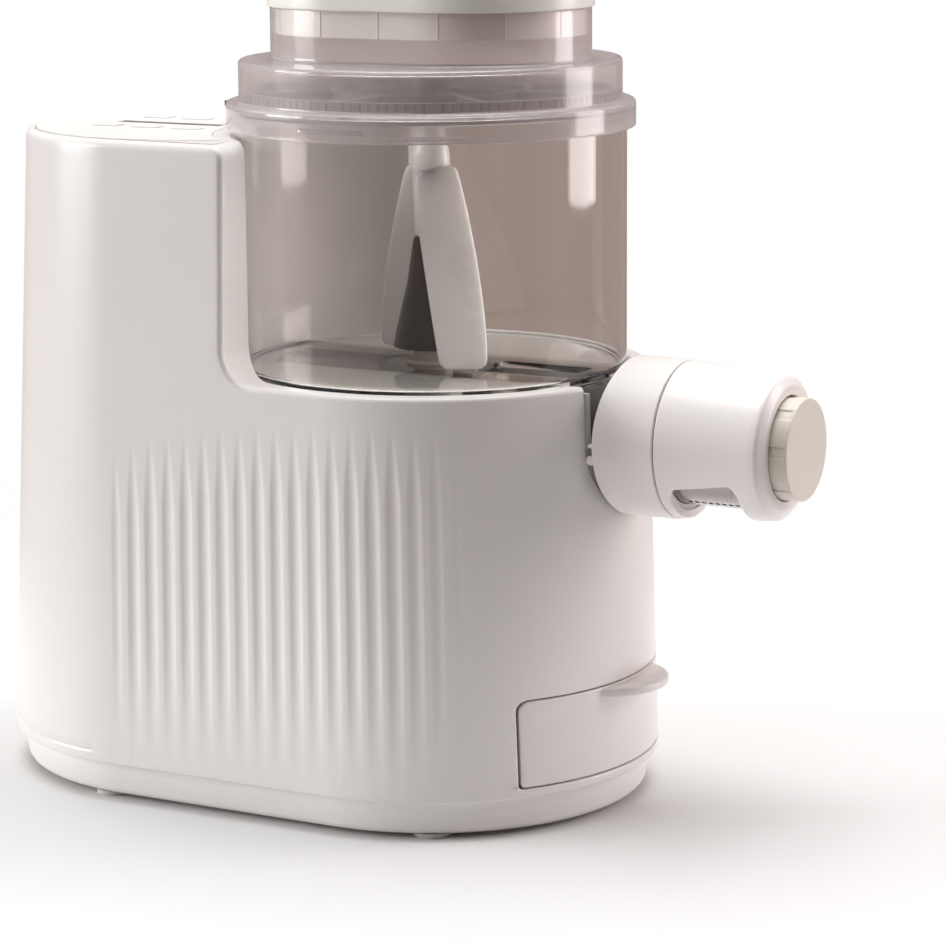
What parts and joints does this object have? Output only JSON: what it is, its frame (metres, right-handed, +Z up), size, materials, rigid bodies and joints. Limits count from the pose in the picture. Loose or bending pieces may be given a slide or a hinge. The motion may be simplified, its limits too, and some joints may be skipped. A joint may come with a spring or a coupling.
{
  "type": "electric pasta maker",
  "caption": "Countertop pasta maker with a clear mixing bowl, a powered stirrer and auger, a sideways die head, control keys and a storage drawer.",
  "frame": {"origin": "centre of the bounding box, on the surface that the feet stand on", "axes": "+X the way the dough leaves the head, +Y to the left seen from behind the head, +Z up"},
  "size_m": [0.3994, 0.206, 0.366],
  "materials": {
    "casing": "satin gloss moulding, warm off-white",
    "panel": "satin gloss moulding, off-white",
    "tray": "satin moulding, warm off-white",
    "display": "polished dark window",
    "key": "satin moulding, light warm grey",
    "lock": "black moulding",
    "board": "solder-masked circuit board",
    "foot_rubber": "light grey rubber",
    "inner_plastic": "satin moulding, light grey",
    "plate_steel": "zinc-plated sheet steel",
    "steel": "ground steel",
    "screw_steel": "zinc-plated screws",
    "bronze": "sintered bronze",
    "motor_steel": "grey painted steel",
    "dark_plastic": "black glass-filled moulding",
    "gear_plastic": "natural acetal",
    "contact_brass": "plated brass contacts",
    "clear_smoke": "clear smoke-tinted moulding, polished",
    "barrel_plastic": "dark smoke moulding",
    "bush_plastic": "acetal bush",
    "hub_plastic": "dark grey moulding",
    "stirrer_plastic": "white food-safe moulding",
    "seal_silicone": "translucent silicone",
    "lid_smoke": "translucent mauve-grey moulding, polished",
    "grate_smoke": "translucent smoke moulding",
    "cap_plastic": "ivory moulding, satin gloss",
    "head_plastic": "warm off-white moulding, satin gloss",
    "die_metal": "turned aluminium alloy",
    "knob_plastic": "beige moulding, satin"
  },
  "bodies": {
    "machine": {"body_shell": "casing", "top_panel": "panel", "display_window": "display", "control_board": "board", "base_tray": "tray", "feet": "foot_rubber", "cradle": "inner_plastic", "front_gear_plate": "plate_steel", "rear_gear_plate": "plate_steel", "plate_spacers": "steel", "plate_screws": "screw_steel", "shaft_bushes": "bronze", "motor_can": "motor_steel", "motor_end_cap": "motor_steel", "motor_screws": "screw_steel", "idler_pin": "steel", "drive_board": "board", "power_inlet": "dark_plastic", "inlet_pins": "contact_brass", "case_screws": "screw_steel", "drawer_runners": "inner_plastic"},
    "start_key": {"key_start": "key"},
    "mode_key": {"key_mode": "key"},
    "water_key": {"key_water": "key"},
    "plus_key": {"key_plus": "key"},
    "minus_key": {"key_minus": "key"},
    "lock": {"lid_lock": "lock"},
    "motor": {"rotor": "steel", "cooling_fan": "dark_plastic", "motor_pinion": "gear_plastic"},
    "idler": {"idler_gear": "gear_plastic"},
    "output": {"output_gear": "gear_plastic", "output_shaft": "steel", "auger_coupler": "dark_plastic"},
    "drawer": {"drawer_front": "casing", "drawer_tray": "inner_plastic"},
    "bowl_unit": {"bowl": "clear_smoke", "barrel": "barrel_plastic", "barrel_bush": "bush_plastic", "spindle_bush": "bush_plastic"},
    "stirrer_unit": {"spindle": "steel", "crown_gear": "gear_plastic", "hub_sleeve": "hub_plastic", "stirrer": "stirrer_plastic"},
    "seal": {"lid_seal": "seal_silicone"},
    "lid_unit": {"lid": "lid_smoke", "lid_grate": "grate_smoke"},
    "cap": {"feed_cap": "cap_plastic"},
    "head": {"head_collar": "head_plastic", "nozzle_hood": "head_plastic", "die": "die_metal", "die_seal": "seal_silicone"},
    "knob": {"end_knob": "knob_plastic"},
    "auger": {"auger_shaft": "steel", "auger_screw": "stirrer_plastic", "auger_pinion": "gear_plastic"}
  },
  "joints": [
    {"name": "auger_spin", "type": "hinge", "parent": "bowl_unit", "child": "auger", "pos_m": [0.01576, 0, 0.171], "axis": [1, 0, 0], "continuous": true},
    {"name": "bowl_lift", "type": "slide", "parent": "machine", "child": "bowl_unit", "axis": [0, 0, 1], "range_m": [0, 0.2]},
    {"name": "lid_lift", "type": "slide", "parent": "bowl_unit", "child": "seal", "axis": [0, 0, 1], "range_m": [0, 0.09]},
    {"name": "lid_turn", "type": "hinge", "parent": "seal", "child": "lid_unit", "pos_m": [0.01576, 0, 0.31], "axis": [0, 0, -1], "range_deg": [0, 26]},
    {"name": "cap_lift", "type": "slide", "parent": "lid_unit", "child": "cap", "axis": [0, 0, 1], "range_m": [0, 0.06]},
    {"name": "stirrer_spin", "type": "hinge", "parent": "bowl_unit", "child": "stirrer_unit", "pos_m": [0.01576, 0, 0.24], "axis": [0, 0, 1], "continuous": true},
    {"name": "head_pull", "type": "slide", "parent": "bowl_unit", "child": "head", "axis": [1, 0, 0], "range_m": [0, 0.21]},
    {"name": "knob_turn", "type": "hinge", "parent": "head", "child": "knob", "pos_m": [0.19076, 0, 0.171], "axis": [1, 0, 0], "range_deg": [0, 90]},
    {"name": "output_spin", "type": "hinge", "parent": "machine", "child": "output", "pos_m": [-0.08424, 0, 0.171], "axis": [1, 0, 0], "continuous": true},
    {"name": "idler_spin", "type": "hinge", "parent": "machine", "child": "idler", "pos_m": [-0.09424, 0, 0.111], "axis": [1, 0, 0], "continuous": true},
    {"name": "motor_spin", "type": "hinge", "parent": "machine", "child": "motor", "pos_m": [-0.04424, 0, 0.075], "axis": [1, 0, 0], "continuous": true},
    {"name": "drawer_slide", "type": "slide", "parent": "machine", "child": "drawer", "axis": [1, 0, 0], "range_m": [0, 0.1]},
    {"name": "start_press", "type": "slide", "parent": "machine", "child": "start_key", "axis": [0, 0, -1], "range_m": [0, 0.0008], "stiffness_N_per_m": 400, "springref_m": -0.0005},
    {"name": "mode_press", "type": "slide", "parent": "machine", "child": "mode_key", "axis": [0, 0, -1], "range_m": [0, 0.0008], "stiffness_N_per_m": 400, "springref_m": -0.0005},
    {"name": "water_press", "type": "slide", "parent": "machine", "child": "water_key", "axis": [0, 0, -1], "range_m": [0, 0.0008], "stiffness_N_per_m": 400, "springref_m": -0.0005},
    {"name": "plus_press", "type": "slide", "parent": "machine", "child": "plus_key", "axis": [0, 0, -1], "range_m": [0, 0.0008], "stiffness_N_per_m": 400, "springref_m": -0.0005},
    {"name": "minus_press", "type": "slide", "parent": "machine", "child": "minus_key", "axis": [0, 0, -1], "range_m": [0, 0.0008], "stiffness_N_per_m": 400, "springref_m": -0.0005},
    {"name": "lock_press", "type": "slide", "parent": "machine", "child": "lock", "axis": [0, 0, -1], "range_m": [0, 0.002], "stiffness_N_per_m": 400, "springref_m": -0.001}
  ],
  "couplings": [
    {"joint": "output_spin", "follows": "auger_spin", "ratio": 1},
    {"joint": "idler_spin", "follows": "auger_spin", "ratio": -4},
    {"joint": "motor_spin", "follows": "auger_spin", "ratio": 15.2},
    {"joint": "stirrer_spin", "follows": "auger_spin", "ratio": 0.5}
  ]
}
